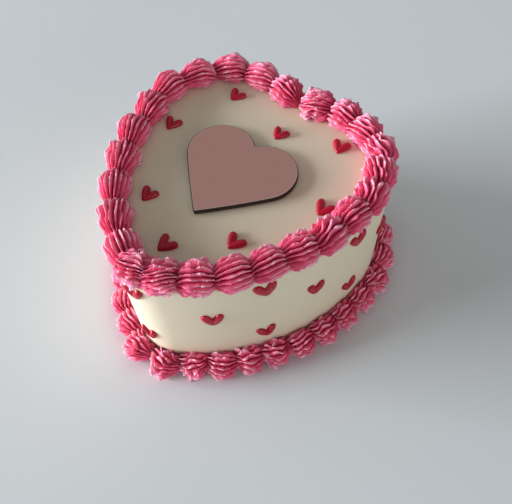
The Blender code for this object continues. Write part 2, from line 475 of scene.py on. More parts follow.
# Pink buttercream, with painted crimson shade between its ridges and a pale painted highlight on
# their crests.
PINK_ICING = Finish(
    name="pink_icing",
    colours=((0.68, 0.07, 0.24), (0.94, 0.39, 0.54), (0.97, 0.50, 0.63), (1.0, 0.72, 0.80)),
    patches=Grain(7.0 * MM, detail=3.0),
    rough=0.38,
    rough_spread=0.2,
    fixed={
        "Specular IOR Level": 0.28,
        "Specular Tint": opaque((1.0, 0.82, 0.87)),
        "Subsurface Weight": 0.28,
        "Subsurface Radius": (1.0, 0.3, 0.4),
        "Subsurface Scale": 1.8 * MM,
    },
    grain=Grain(0.7 * MM, detail=3.0, roughness=0.6),
    depth=0.16 * MM,
    mark="crest",
    # Crest mark 0 is painted crimson shade in the valleys and 1 a pale painted highlight on the
    # crests; the pinks between are the icing's own.
    levels=(0.0, 0.30, 0.72, 1.0),
    patch_share=0.24,
)
# Crimson icing with a wet gloss.
RED_ICING = Finish(
    name="red_icing",
    colours=((0.64, 0.01, 0.15), (0.77, 0.04, 0.21)),
    patches=Grain(4.0 * MM),
    rough=0.20,
    rough_spread=0.18,
    fixed={"Specular IOR Level": 0.45},
    grain=Grain(0.9 * MM),
    depth=0.06 * MM,
)
# Mirrored acrylic: its face, a pale painted highlight along its rim, and its dark cut edge.
ROSE_GOLD = Finish(
    name="rose_gold",
    colours=((0.85, 0.65, 0.61), (0.90, 0.78, 0.76), (0.14, 0.07, 0.05)),
    patches=Grain(14.0 * MM),
    rough=0.10,
    rough_spread=0.06,
    mark="cut",
    # At 0.3 of the cut lies the pale painted highlight, between the face and the dark cut edge.
    levels=(0.0, 0.3, 0.6),
    cut_rough=0.40,
)
# The plain pale surface that the cake stands on.
PALE_FLOOR = Finish(
    name="pale_floor",
    colours=((0.900, 0.922, 0.930), (0.884, 0.906, 0.914)),
    patches=Grain(300.0 * MM),
    rough=0.6,
    rough_spread=0.1,
    fixed={"Specular IOR Level": 0.15},
)


def ring_mesh(
    name: str,
    rings: Sequence[np.ndarray],
    first_pole: Sequence[float],
    last_pole: Sequence[float],
    marks: dict[str, Sequence[np.ndarray]] | None = None,
) -> Mesh:
    """Make a closed mesh of rings of points.

    Args:
        name: Name of the mesh.
        rings: Arrays of points, each of the same count.
        first_pole: Point that closes the first ring.
        last_pole: Point that closes the last ring.
        marks: Values for each point of each ring, by the name of their attribute.

    Returns:
        The mesh, smooth shaded and with its faces outwards.
    """
    count = len(rings[0])
    points = np.concatenate([*rings, np.array([first_pole, last_pole])])
    lower = np.arange(count)
    after = (lower + 1) % count
    faces: list[tuple[int, ...]] = []
    for row in range(len(rings) - 1):
        here = row * count
        above = here + count
        corners = (here + lower, here + after, above + after, above + lower)
        faces += zip(*(corner.tolist() for corner in corners))
    top = (len(rings) - 1) * count
    faces += [(int(b), int(a), len(points) - 2) for a, b in zip(lower, after)]
    faces += [(top + int(a), top + int(b), len(points) - 1) for a, b in zip(lower, after)]
    mesh = bpy.data.meshes.new(name)
    mesh.from_pydata(points.tolist(), [], faces)
    for mark, rows in (marks or {}).items():
        ends = np.array([rows[0].mean(), rows[-1].mean()])
        layer = mesh.attributes.new(mark, "FLOAT", "POINT")
        layer.data.foreach_set("value", np.concatenate([*rows, ends]).astype(np.float32))
    shell = bmesh.new()
    shell.from_mesh(mesh)
    bmesh.ops.recalc_face_normals(shell, faces=shell.faces)
    shell.to_mesh(mesh)
    shell.free()
    mesh.shade_smooth()
    return mesh


def level_ring(ring: np.ndarray, height: float) -> np.ndarray:
    """A flat ring of points at a height."""
    return np.column_stack((ring, np.full(len(ring), height)))


def add_piece(mesh: Mesh, name: str) -> Object:
    """Put a mesh in the scene.

    Args:
        mesh: The mesh, with its place in its points.
        name: Name of the piece and of its mesh.

    Returns:
        The piece, at the origin.
    """
    mesh.name = name
    item = bpy.data.objects.new(name, mesh)
    bpy.context.scene.collection.objects.link(item)
    return item


def finished_mesh(item: Object) -> Mesh:
    """What an object's modifiers make of it, as a plain mesh.

    Args:
        item: The object, which is removed.

    Returns:
        The mesh, with nothing left to evaluate.
    """
    bpy.context.view_layer.update()
    evaluated = item.evaluated_get(bpy.context.evaluated_depsgraph_get())
    result = bpy.data.meshes.new_from_object(evaluated)
    item.modifiers.clear()
    bpy.data.objects.remove(item, do_unlink=True)
    return result


def declare(piece: Object, nodes: Sequence[str]) -> None:
    """Tell the frame what a piece is.

    Args:
        piece: The piece, which rides on the one body.
        nodes: The CAD nodes that it stands for.
    """
    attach(piece, ROOT)
    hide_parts(*nodes)
    faces = len(piece.data.polygons)
    LOG.info("%s replaces %d nodes with %d faces", piece.name, len(nodes), faces)


@dataclass(frozen=True)
class Spot:
    """Where one copy of a piped shape goes, its turn and stretch, and which shape it is."""

    place: Triple
    turn: Triple
    stretch: Triple
    kind: int


@dataclass(frozen=True)
class Piping:
    """Sets copies of piped shapes on spots and roughens them, with Geometry Nodes."""

    rough_height: float
    rough_size: float
    grain_height: float
    grain_size: float
    seed: float

    GROUP = "piping"
    LOWEST_CORNER = (-1.0, -1.0, 0.0)
    VALLEY_GRAIN = 0.5

    def tree(self) -> NodeTree:
        """The node tree, made once and shared by all piping.

        Returns:
            A geometry tree with named inputs for its sizes, its shapes and its icing.
        """
        made = bpy.data.node_groups.get(self.GROUP)
        if made:
            return made
        made = bpy.data.node_groups.new(self.GROUP, "GeometryNodeTree")
        inputs = {"Geometry": "Geometry", "Shapes": "Collection", "Icing": "Material"}
        inputs |= {size.name: "Float" for size in fields(self)}
        for name, kind in inputs.items():
            made.interface.new_socket(name, in_out="INPUT", socket_type=f"NodeSocket{kind}")
        made.interface.new_socket(
            "Geometry", in_out="OUTPUT", socket_type="NodeSocketGeometry")
        tree = Tree(made)
        given = tree.node("NodeGroupInput")
        shapes = tree.node("GeometryNodeCollectionInfo", None, {
            "Collection": tree.out(given, "Shapes"),
            "Separate Children": True,
            "Reset Children": True,
        })
        turned = tree.node(
            "FunctionNodeEulerToRotation", None, {0: self._mark(tree, "turn", "FLOAT_VECTOR")})
        copies = tree.node("GeometryNodeInstanceOnPoints", None, {
            "Points": tree.out(given, "Geometry"),
            "Instance": tree.out(shapes),
            "Pick Instance": True,
            "Instance Index": self._mark(tree, "kind", "INT"),
            "Rotation": tree.out(turned),
            "Scale": self._mark(tree, "stretch", "FLOAT_VECTOR"),
        })
        place = tree.out(tree.node("GeometryNodeInputPosition"))
        above = tree.vector("MAXIMUM", place, self.LOWEST_CORNER)
        shape = tree.out(copies)
        for kind, inputs in (
            ("GeometryNodeRealizeInstances", {}),
            ("GeometryNodeSetPosition", {"Offset": self._roughness(tree, given)}),
            ("GeometryNodeSetPosition", {"Position": above}),
            ("GeometryNodeSetMaterial", {"Material": tree.out(given, "Icing")}),
        ):
            shape = tree.out(tree.node(kind, None, {"Geometry": shape, **inputs}))
        tree.node("NodeGroupOutput", None, {0: shape})
        return made

    @staticmethod
    def _mark(tree: Tree, name: str, kind: str) -> Socket:
        """A named attribute of the spots or of the copies."""
        settings = {"data_type": kind}
        node = tree.node("GeometryNodeInputNamedAttribute", settings, {"Name": name})
        return tree.out(node, "Attribute")

    def _roughness(self, tree: Tree, given: Node) -> Socket:
        """Offsets along the normals: coarse lumps, and a grain that is strongest on the crests.

        Args:
            tree: The tree.
            given: Its input node.

        Returns:
            The offset of each point.
        """
        place = tree.out(tree.node("GeometryNodeInputPosition"))
        normal = tree.out(tree.node("GeometryNodeInputNormal"))
        moved = tree.vector("ADD", place, tree.out(given, "seed"))
        lumps = tree.noise(moved, 1.0 / tree.out(given, "rough_size"), detail=1.0)
        grain = tree.noise(moved, 1.0 / tree.out(given, "grain_size"), detail=1.0)
        on_ridge = self.VALLEY_GRAIN + self._mark(tree, "crest", "FLOAT")
        height = (
            tree.out(given, "rough_height") * (lumps * 2.0 - 1.0)
            + tree.out(given, "grain_height") * (grain * 2.0 - 1.0) * on_ridge
        )
        return tree.vector("SCALE", normal, height, "Scale")

    def pipe(
        self,
        name: str,
        spots: Sequence[Spot],
        shapes: Sequence[Mesh],
        icing: Material,
    ) -> Object:
        """Pipe one piece.

        Args:
            name: Name of the piece.
            spots: Where its copies go.
            shapes: The shapes that are copied.
            icing: The material of the piece.

        Returns:
            The piece as a plain mesh.
        """
        store = bpy.data.collections.new(f"{name}_shapes")
        helpers = [
            bpy.data.objects.new(f"{name}_shape_{k:02d}", shape)
            for k, shape in enumerate(shapes)]
        for helper in helpers:
            store.objects.link(helper)
        mesh = bpy.data.meshes.new(f"{name}_spots")
        mesh.from_pydata([spot.place for spot in spots], [], [])
        for mark in ("turn", "stretch"):
            layer = mesh.attributes.new(mark, "FLOAT_VECTOR", "POINT")
            values = [c for spot in spots for c in getattr(spot, mark)]
            layer.data.foreach_set("vector", values)
        kinds = mesh.attributes.new("kind", "INT", "POINT")
        kinds.data.foreach_set("value", [spot.kind for spot in spots])
        carrier = add_piece(mesh, f"{name}_spots")
        modifier = carrier.modifiers.new(self.GROUP, "NODES")
        modifier.node_group = self.tree()
        given = asdict(self) | {"Shapes": store, "Icing": icing}
        for item in modifier.node_group.interface.items_tree:
            if item.in_out == "INPUT" and item.name in given:
                modifier[item.identifier] = given[item.name]
        result = finished_mesh(carrier)
        for helper in helpers:
            bpy.data.objects.remove(helper, do_unlink=True)
        bpy.data.collections.remove(store)
        return add_piece(result, name)


class Hand(Enum):
    """How a shell came off the bag: its twist in degrees, wander, liveliness and tearing."""

    CALM = (8.0, 0.10, 0.16, 0.0)
    LIVELY = (-14.0, 0.20, 0.30, 0.25)
    TURNED = (50.0, 0.24, 0.28, 0.15)
    TORN = (24.0, 0.46, 0.40, 0.32)
    RUFFLED = (-24.0, 0.46, 0.46, 0.45)
    LUMPY = (26.0, 0.34, 0.55, 0.35)
    ROPY = (30.0, 0.42, 0.28, 0.15)


def hands(names: str) -> tuple[Hand, ...]:
    """The hands of a run of shells, from their names in order."""
    return tuple(Hand[name] for name in names.split())


@dataclass(frozen=True)
class Shell:
    """One star piped shell along +X: a blunt head by the origin, and a tail that dips and narrows.

    Lengths are shares of its pitch and heights are shares of its girth.
    """

    pitch: float
    girth: float
    hand: Hand
    seed: int
    tail_run: float
    fine: Pair
    ridges: int = 16
    head_rows: int = 23
    tail_rows: int = 31
    groove: float = 0.355
    head_length: float = 0.44
    tail_length: float = 0.84
    head_drop: float = 0.50
    tail_drop: float = 0.42
    sharpness: float = 1.8
    finger: float = 0.34
    untwisted: float = 0.35
    sway_waves: float = 1.6
    swell_waves: float = 3.2
    tear_waves: float = 13.0
    tear_from: float = 0.35
    drift_height: float = 1.3
    drift_terms: int = 3
    least_pace: float = 0.5
    # Painted shade: between these shares of its length the crest mark sinks by shade_depth, so the
    # tail under the next head is painted crimson.
    shade_from: float = 0.42
    shade_to: float = 0.80
    shade_depth: float = 0.65
    fine_steps: tuple[float, ...] = (-0.37, -0.22, -0.09, 0.0, 0.09, 0.22, 0.37, 0.5)
    coarse_steps: tuple[float, ...] = (-0.25, 0.0, 0.25, 0.5)

    def columns(self) -> tuple[np.ndarray, np.ndarray, np.ndarray]:
        """Where the section is sampled: finely where it shows and coarsely underneath.

        Returns:
            The ridge before each column, how far on the column is, and its share of a crest.
        """
        ridge: list[int] = []
        step: list[float] = []
        for k in range(self.ridges):
            angle = (360.0 * k / self.ridges + 180.0) % 360.0 - 180.0
            steps = self.fine_steps if self.fine[0] < angle < self.fine[1] else self.coarse_steps
            ridge += [k] * len(steps)
            step += steps
        along = np.array(ridge, float) + np.array(step)
        before = np.floor(along).astype(int)
        crest = 1.0 - np.abs(np.sin(math.pi * np.array(step))) ** self.sharpness
        return before, along - before, crest

    def profile(self) -> tuple[np.ndarray, np.ndarray, np.ndarray]:
        """The shell's outline along its length: a round head, then a narrowing tail.

        Returns:
            Distance along it in pitches, radius as a share of its girth, and the middle's drop.
        """
        bend = np.linspace(0.0, QUARTER, self.head_rows + 1)
        behind = np.linspace(0.0, 1.0, self.tail_rows + 1)[1:]
        head = self.head_length * (1.0 - np.cos(bend))
        along = np.concatenate((head, self.head_length + self.tail_length * behind))
        tail = np.cos(QUARTER * behind ** self.tail_run)
        drop = (self.head_drop * (1.0 - np.sin(bend)), self.tail_drop * (1.0 - tail))
        return along, np.concatenate((np.sin(bend), tail)), np.concatenate(drop)

    def drift(self, draw: np.random.Generator, share: np.ndarray, waves: float) -> np.ndarray:
        """Smooth noise of about -1 to 1 along each ridge.

        Args:
            draw: Source of the noise.
            share: How far along the shell each row is.
            waves: Number of waves along the shell.

        Returns:
            A value for each row of each ridge.
        """
        size = (1, self.ridges, self.drift_terms)
        pace = waves * (self.least_pace + draw.random(size))
        start = draw.random(size)
        waving = np.sin(TURN * (pace * share[:, None, None] + start))
        return self.drift_height * waving.mean(axis=2)

    def mesh(self, name: str) -> Mesh:
        """Make the shell's mesh.

        Args:
            name: Name of the mesh.

        Returns:
            A closed mesh whose attribute "crest" is 1 on the ridges and 0 between them; towards
            the tail it sinks, which paints shade there.
        """
        twist, wander, lively, torn = self.hand.value
        draw = np.random.default_rng(self.seed)
        along, fullness, drop = self.profile()
        share = along / (self.head_length + self.tail_length)
        before, on, crest = self.columns()
        after = (before + 1) % self.ridges
        drifts = [
            self.drift(draw, share, waves)
            for waves in (self.sway_waves, self.swell_waves, self.tear_waves)]
        sway, swell, tears = (
            drift[:, before] * (1.0 - on) + drift[:, after] * on for drift in drifts)
        angle = TURN * (before + on)[None, :] / self.ridges
        angle = angle + math.radians(twist) * (share[:, None] - self.untwisted)
        angle = angle + wander * sway * TURN / self.ridges
        notch = np.clip(tears - self.tear_from, 0.0, 1.0)
        ridged = crest[None, :] * (1.0 + lively * swell) * (1.0 - torn * notch)
        radius = self.girth * fullness[:, None] * (1.0 - self.groove + self.groove * ridged)
        rounding = 1.0 - smooth(along / self.head_length)[:, None]
        x = along[:, None] * self.pitch + self.finger * self.girth * rounding * (1.0 - ridged)
        y = radius * np.sin(angle)
        z = radius * np.cos(angle) - self.girth * drop[:, None]
        inner = range(1, len(along) - 1)
        rings = [np.column_stack((x[k], y[k], z[k])) for k in inner]
        poles = [(float(x[k].mean()), 0.0, float(z[k].mean())) for k in (0, -1)]
        # Painted shade towards the tail, where it dives under the next shell's head.
        fading = (share - self.shade_from) / (self.shade_to - self.shade_from)
        shade = 1.0 - self.shade_depth * smooth(fading)
        marks = [np.clip(ridged[k], 0.0, 1.0) * shade[k] for k in inner]
        return ring_mesh(name, rings, poles[0], poles[1], {"crest": marks})


@dataclass(frozen=True)
class CakeBody:
    """The iced heart: a wall, a soft upper edge and a flat top."""

    edge_points: int = 400
    under_rings: Triple = (0.25, 0.5, 0.75)
    wall_levels: int = 24
    soft_edge: float = 1.6 * MM
    edge_steps: int = 5
    top_rings: int = 30
    centre_drop: float = 16.0 * MM
    wave_height: float = 0.22 * MM
    wave_length: float = 34.0 * MM
    calm_height: float = 136.0 * MM
    waves: tuple[tuple[float, ...], ...] = (
        (2.1, 1.7, 0.0, 0.0), (0.0, 1.3, -2.9, 1.0), (1.1, 0.0, 2.4, 2.0))

    def lifts(self) -> list[Pair]:
        """The rings up the wall and over its upper edge.

        Returns:
            Offset and height of each ring.
        """
        levels = [(0.0, CAKE_TOP * k / self.wall_levels) for k in range(self.wall_levels)]
        levels[-1] = (0.0, CAKE_TOP - 2.0 * self.soft_edge)
        for k in range(self.edge_steps + 1):
            angle = QUARTER * k / self.edge_steps
            inwards = self.soft_edge * (math.cos(angle) - 1.0)
            levels.append((inwards, CAKE_TOP - self.soft_edge * (1.0 - math.sin(angle))))
        return levels

    def mesh(self) -> Mesh:
        """Make the body's mesh.

        Returns:
            A closed mesh, hardly uneven as scraped icing is.
        """
        centre = np.array((CAKE_EDGE.middle[0], CAKE_EDGE.middle[1] - self.centre_drop))
        foot = CAKE_EDGE.ring(self.edge_points)
        rings = [level_ring(centre + (foot - centre) * share, 0.0) for share in self.under_rings]
        for offset, height in self.lifts():
            rings.append(level_ring(CAKE_EDGE.ring(self.edge_points, offset), height))
        rim = rings[-1][:, :2]
        for k in range(1, self.top_rings):
            share = 1.0 - k / self.top_rings
            rings.append(level_ring(centre + (rim - centre) * share, CAKE_TOP))
        rings = [self._wave(ring) for ring in rings]
        top = self._wave(np.array([(*centre, CAKE_TOP)]))[0]
        return ring_mesh("cake_icing", rings, (*centre, 0.0), tuple(top))

    def _wave(self, points: np.ndarray) -> np.ndarray:
        """Move points by long, shallow waves, and not at all at the foot.

        Args:
            points: The points.

        Returns:
            The moved points.
        """
        place = points / self.wave_length
        held = smooth(points[:, 2] / self.calm_height)
        wave = sum(np.sin(place @ np.array(pace) + start) for *pace, start in self.waves)
        away = points - np.array((*CAKE_EDGE.middle, 0.0))
        away = away / np.maximum(np.linalg.norm(away, axis=1, keepdims=True), MM)
        return points + away * (self.wave_height * held * wave / len(self.waves))[:, None]

    def build(self) -> None:
        """Add the iced body."""
        piece = add_piece(self.mesh(), "cake_icing")
        piece.data.materials.append(CREAM_ICING.make())
        declare(piece, ["cake_body"])


@dataclass(frozen=True)
class Border:
    """What both ropes of shells share: how a shell sits on the edge, and how far it strays."""

    radius: float
    offset: float
    level: float
    roll: float
    roll_spread: float
    yaw: float
    fine: Pair
    piping: Piping
    girth_spread: float = 0.045
    shift: float = 0.5 * MM
    head_share: float = 0.34

    def spot(self, number: int, distance: float, way: int, pitch: float, kind: int) -> Spot:
        """The seat of one shell.

        Args:
            number: The shell's number, which fixes how it strays.
            distance: Where its fullest part is along the edge.
            way: 1 if its tail points on along the edge, and -1 if it points back.
            pitch: Length of the edge that it takes.
            kind: Which shape it is.

        Returns:
            Where it goes, and how it is turned and stretched.
        """
        shift = self.shift * uneven(number, Stray.SHIFT)
        size = 1.0 + self.girth_spread * uneven(number, Stray.GIRTH)
        x, y, outwards = CAKE_EDGE.spot(distance, self.offset + shift)
        heading = outwards - way * QUARTER
        back = self.head_share * pitch
        place = (x - back * math.cos(heading), y - back * math.sin(heading), self.level)
        roll = self.roll + self.roll_spread * uneven(number, Stray.ROLL)
        turn = (roll, 0.0, heading + self.yaw * uneven(number, Stray.YAW))
        return Spot(place, turn, (1.0, size, size), kind)


@dataclass(frozen=True)
class Rope:
    """A run of shells along the cake's edge, one way or the other from its start."""

    name: str
    way: int
    pitch: float
    lead: float
    taper: float
    run: tuple[Hand, ...]
    first_number: int = 0
    start: float = -20.0 * MM

    @property
    def end(self) -> float:
        """Distance along the edge where the run ends."""
        return self.start + self.way * (len(self.run) + self.lead) * self.pitch


@dataclass(frozen=True)
class TopBorder(Border):
    """The shells on the top edge: two strands from beside the cleft, and one shell over the tip."""

    radius: float = 9.8 * MM
    offset: float = -6.8 * MM
    level: float = CAKE_TOP + 4.6 * MM
    roll: float = 0.0
    roll_spread: float = 0.5
    yaw: float = math.radians(5.0)
    fine: Pair = (-105.0, 135.0)
    piping: Piping = Piping(
        rough_height=0.45 * MM, rough_size=2.8 * MM,
        grain_height=0.36 * MM, grain_size=1.0 * MM, seed=0.31)
    lead_run: float = 3.0
    right: Rope = Rope("right", 1, 19.3 * MM, lead=0.13, taper=1.9, run=hands(
        "LIVELY TORN LIVELY TURNED ROPY TURNED ROPY LIVELY ROPY LIVELY CALM CALM LIVELY TORN"))
    left: Rope = Rope("left", -1, 22.7 * MM, lead=0.25, taper=1.1, first_number=15, run=hands(
        "TURNED TURNED LIVELY CALM LIVELY CALM LIVELY CALM LIVELY CALM"))
    ridges: dict[Hand, int] = field(default_factory=lambda: {Hand.TORN: 26, Hand.ROPY: 15})
    plain_ridges: int = 18
    seeds_apart: int = 10

    def ropes(self) -> tuple[Rope, ...]:
        """The runs of shells.

        Returns:
            The right strand, the left strand and the shell over the tip.
        """
        right, left = self.right, self.left
        gap = left.end + 2 * CAKE_EDGE.half - right.end
        numbers = len(right.run)
        tip = Rope("tip", 1, gap, 0.0, right.taper, hands("TORN"), numbers, start=right.end)
        return right, left, tip

    def spots(self, rope: Rope, kinds: list[Hand]) -> list[Spot]:
        """Where the shells of a rope go.

        Args:
            rope: The run of shells.
            kinds: The hand of each shape that can be copied.

        Returns:
            One spot for each shell.
        """
        made = []
        for k, hand in enumerate(rope.run):
            lead = rope.lead * float(smooth(np.array(k / self.lead_run)))
            distance = rope.start + rope.way * (k + self.head_share + lead) * rope.pitch
            number = rope.first_number + k
            made.append(self.spot(number, distance, rope.way, rope.pitch, kinds.index(hand)))
        return made

    def build(self, icing: Material) -> None:
        """Add the top border in three pieces.

        Args:
            icing: The pink icing.
        """
        for order, rope in enumerate(self.ropes()):
            kinds = sorted(set(rope.run), key=lambda hand: hand.name)
            fine = self.fine if rope.way > 0 else (-self.fine[1], -self.fine[0])
            shapes = [
                Shell(
                    rope.pitch, self.radius, hand, self.seeds_apart * order + k,
                    rope.taper, fine, self.ridges.get(hand, self.plain_ridges),
                ).mesh(f"top_{rope.name}_{k}")
                for k, hand in enumerate(kinds)]
            spots = self.spots(rope, kinds)
            piece = self.piping.pipe(f"top_shells_{rope.name}", spots, shapes, icing)
            declare(piece, ["top_border"])


@dataclass(frozen=True)
class FootBorder(Border):
    """The shells round the foot of the wall, all with their tails pointing back to the cleft."""

    radius: float = 9.3 * MM
    offset: float = 6.1 * MM
    level: float = 7.0 * MM
    roll: float = math.radians(96.0)
    roll_spread: float = 0.3
    yaw: float = math.radians(6.0)
    fine: Pair = (-85.0, 150.0)
    piping: Piping = Piping(
        rough_height=0.48 * MM, rough_size=2.4 * MM,
        grain_height=0.38 * MM, grain_size=0.9 * MM, seed=0.77)
    taper: float = 2.0
    tail_drop: float = 0.5
    head_rows: int = 22
    tail_rows: int = 36
    shells: int = 32
    first_number: int = 25
    first_seed: int = 40
    kinds: tuple[Hand, ...] = hands("LIVELY RUFFLED LUMPY TURNED RUFFLED")

    @property
    def pitch(self) -> float:
        """Length of the edge that each shell takes."""
        return 2 * CAKE_EDGE.half / self.shells

    def spots(self) -> list[Spot]:
        """Where the shells go, with a shape drawn for each.

        Returns:
            One spot for each shell.
        """
        made = []
        for k in range(self.shells):
            number = self.first_number + k
            kind = int((0.5 + 0.5 * uneven(number, Stray.KIND)) * len(self.kinds))
            distance = (k + 1.0 - self.head_share) * self.pitch
            kind = min(kind, len(self.kinds) - 1)
            made.append(self.spot(number, distance, -1, self.pitch, kind))
        return made

    def build(self, icing: Material) -> None:
        """Add the bottom border in two pieces.

        Args:
            icing: The pink icing.
        """
        shapes = [
            Shell(
                self.pitch, self.radius, hand, self.first_seed + k, self.taper, self.fine,
                head_rows=self.head_rows, tail_rows=self.tail_rows, tail_drop=self.tail_drop,
            ).mesh(f"foot_{k}")
            for k, hand in enumerate(self.kinds)]
        spots = self.spots()
        half = self.shells // 2
        for name, run in (("foot_shells_right", spots[:half]), ("foot_shells_left", spots[half:])):
            piece = self.piping.pipe(name, run, shapes, icing)
            declare(piece, ["bottom_border"])


@dataclass(frozen=True)
class PipedHeart:
    """A small heart of two fat strokes that meet at its tip, flat in XY with its tip to -Y."""

    lobe_place: Pair = (3.2 * MM, 2.2 * MM)
    lobe_radius: float = 2.7 * MM
    tip_place: Pair = (0.3 * MM, -3.4 * MM)
    tip_radius: float = 1.75 * MM
    spread: float = 0.05
    blunt: float = 0.62
    height: float = 2.9 * MM
    sink: float = 0.25
    rows: int = 22
    columns: int = 28
    voxel: float = 0.36 * MM
    soften_rounds: int = 4
    soften_share: float = 0.5
    grain_share: float = 0.5

    def stroke(self, side: float, draw: np.random.Generator) -> Mesh:
        """One stroke from its lobe to the tip.

        Args:
            side: 1 for the +X stroke, -1 for the other.
            draw: Source of its unevenness. Of its four draws the last is spare.

        Returns:
            A closed drop.
        """
        across_stray, up_stray, girth_stray, _ = 1.0 + self.spread * draw.standard_normal(4)
        lobe = np.array(self.lobe_place) * (side, 1.0) * (across_stray, up_stray)
        lobe_radius = self.lobe_radius * girth_stray
        tip = np.array(self.tip_place) * (side, 1.0)
        length = float(np.linalg.norm(tip - lobe))
        along = (tip - lobe) / length
        across = np.array((-along[1], along[0]))
        turn = np.linspace(0.0, TURN, self.columns, endpoint=False)
        rings = []
        for k in range(1, self.rows):
            angle = math.pi * k / self.rows
            share = 0.5 - 0.5 * math.cos(angle)
            radius = lobe_radius + (self.tip_radius - lobe_radius) * smooth(np.array(share))
            reach = radius * math.sin(angle) ** self.blunt
            spot = lobe + along * (share * (length + lobe_radius + self.tip_radius) - lobe_radius)
            flat = spot + across * (reach * np.cos(turn))[:, None]
            rise = reach * np.sin(turn) * self.height / self.lobe_radius
            rings.append(np.column_stack((flat, np.where(rise < 0.0, self.sink * rise, rise))))
        start = (*(lobe - along * lobe_radius), 0.0)
        end = (*(tip + along * self.tip_radius), 0.0)
        return ring_mesh("stroke", rings, start, end)

    def mesh(self, name: str, seed: int) -> Mesh:
        """Fuse the two strokes into one heart.

        Args:
            name: Name of the mesh.
            seed: Seed of the strokes' unevenness.

        Returns:
            A closed mesh of one soft heart.
        """
        draw = np.random.default_rng(seed)
        both = bmesh.new()
        for side in (-1.0, 1.0):
            both.from_mesh(self.stroke(side, draw))
        mesh = bpy.data.meshes.new(name)
        both.to_mesh(mesh)
        both.free()
        item = add_piece(mesh, name)
        fuse = item.modifiers.new("fuse", "REMESH")
        fuse.mode = "VOXEL"
        fuse.voxel_size = self.voxel
        fuse.use_smooth_shade = True
        soften = item.modifiers.new("soften", "SMOOTH")
        soften.iterations = self.soften_rounds
        soften.factor = self.soften_share
        result = finished_mesh(item)
        crest = result.attributes.new("crest", "FLOAT", "POINT")
        crest.data.foreach_set("value", [self.grain_share] * len(result.vertices))
        return result


@dataclass(frozen=True)
class Hearts:
    """The small red hearts, eight on top at places in millimetres, and twenty-four on the wall."""

    tilt: float = math.radians(9.0)
    size_spread: float = 0.06
    wall_shape: Pair = (1.11, 1.26)
    kinds: int = 4
    first_seed: int = 70
    sink: float = 0.25 * MM
    top_lift: float = 0.3 * MM
    top_places: tuple[Pair, ...] = (
        (-37.0, 26.0), (-55.0, -16.0), (-30.5, -66.0), (-0.5, -86.0),
        (29.0, -64.0), (56.0, -18.5), (40.0, 25.5), (4.5, 14.0))
    single_columns: tuple[float, ...] = (40.5 * MM, 100.5 * MM, 159.7 * MM, 220.8 * MM)
    double_columns: tuple[float, ...] = (0.0, 70.5 * MM, 130.8 * MM, 190.6 * MM)
    single_level: float = 57.0 * MM
    upper_level: float = 79.5 * MM
    lower_level: float = 29.5 * MM
    piping: Piping = Piping(
        rough_height=0.10 * MM, rough_size=2.2 * MM,
        grain_height=0.03 * MM, grain_size=0.8 * MM, seed=1.7)

    def _size(self, number: int, shape: Pair = (1.0, 1.0)) -> Triple:
        """How large one heart came out, with the width and height of its shape."""
        size = 1.0 + self.size_spread * uneven(number, Stray.SIZE)
        return (size * shape[0], size * shape[1], 1.0)

    def top_spots(self) -> list[Spot]:
        """Where the hearts on top lie.

        Returns:
            One spot for each heart.
        """
        middle = CAKE_EDGE.middle
        made = []
        for k, (x, y) in enumerate(self.top_places):
            place = (middle[0] + x * MM, middle[1] + y * MM, CAKE_TOP + self.top_lift)
            turn = (0.0, 0.0, self.tilt * uneven(k, Stray.TOP_TILT))
            made.append(Spot(place, turn, self._size(k), k % self.kinds))
        return made

    def wall_spots(self) -> list[Spot]:
        """Where the hearts on the wall stand, their backs to it and their tips down.

        Returns:
            One spot for each heart.
        """
        half = CAKE_EDGE.half
        pair = (self.upper_level, self.lower_level)
        spots = [(half, level) for level in pair]
        for column in self.single_columns:
            spots += [(column, self.single_level), (-column, self.single_level)]
        for column in self.double_columns:
            sides = [column, -column] if column > 0 else [column]
            spots += [(side, level) for side in sides for level in pair]
        upright = Matrix.Rotation(QUARTER, 3, "X")
        made = []
        for number, (distance, level) in enumerate(spots, start=len(self.top_places)):
            x, y, outwards = CAKE_EDGE.spot(distance, -self.sink)
            tilt = Matrix.Rotation(self.tilt * uneven(number, Stray.WALL_TILT), 3, "Z")
            turn = (Matrix.Rotation(outwards + QUARTER, 3, "Z") @ upright @ tilt).to_euler()
            size = self._size(number, self.wall_shape)
            made.append(Spot((x, y, level), tuple(turn), size, number % self.kinds))
        return made

    def build(self) -> None:
        """Add the hearts in two pieces."""
        icing = RED_ICING.make()
        shapes = [
            PipedHeart().mesh(f"heart_{k}", self.first_seed + k) for k in range(self.kinds)]
        for stem, spots in (("top_heart", self.top_spots()), ("wall_heart", self.wall_spots())):
            piece = self.piping.pipe(f"{stem}s", spots, shapes, icing)
            declare(piece, [f"{stem}_{k + 1:02d}" for k in range(len(spots))])


